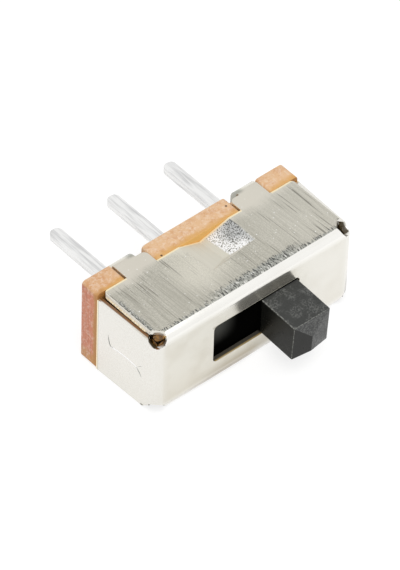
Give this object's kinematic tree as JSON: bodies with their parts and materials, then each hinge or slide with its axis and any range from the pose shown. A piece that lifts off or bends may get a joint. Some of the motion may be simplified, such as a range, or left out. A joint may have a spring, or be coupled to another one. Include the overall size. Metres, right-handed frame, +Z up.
{
  "type": "slide switch",
  "caption": "Miniature slide switch with a folded metal cover, a short square knob in a slot and a row of flat solder pins behind a laminated board.",
  "frame": {"origin": "on the middle terminal's axis, in the plane of the tab leaves that sits on a circuit board", "axes": "+X along the length, the way the knob lies at rest; +Y along the terminals, away from the body; +Z up as it lies on one long side"},
  "size_m": [0.0088, 0.0091, 0.0036],
  "materials": {
    "plated_steel": "nickel-plated steel sheet, rolled grain, sheared edges",
    "phenolic_paper": "punched paper-phenolic laminate, dull with pale fibres",
    "black_acetal": "moulded black acetal, fine satin grain",
    "spring_bronze": "rolled phosphor bronze strip",
    "tinned_brass": "brass strip with bright tin plate"
  },
  "bodies": {
    "housing": {"cover": "plated_steel", "board": "phenolic_paper", "terminal_left": "tinned_brass", "terminal_middle": "tinned_brass", "terminal_right": "tinned_brass"},
    "actuator": {"slider": "black_acetal", "contact_clip": "spring_bronze"}
  },
  "joints": [
    {"name": "switch_slide", "type": "slide", "parent": "housing", "child": "actuator", "axis": [1, 0, 0], "range_m": [-0.002, 0]}
  ]
}
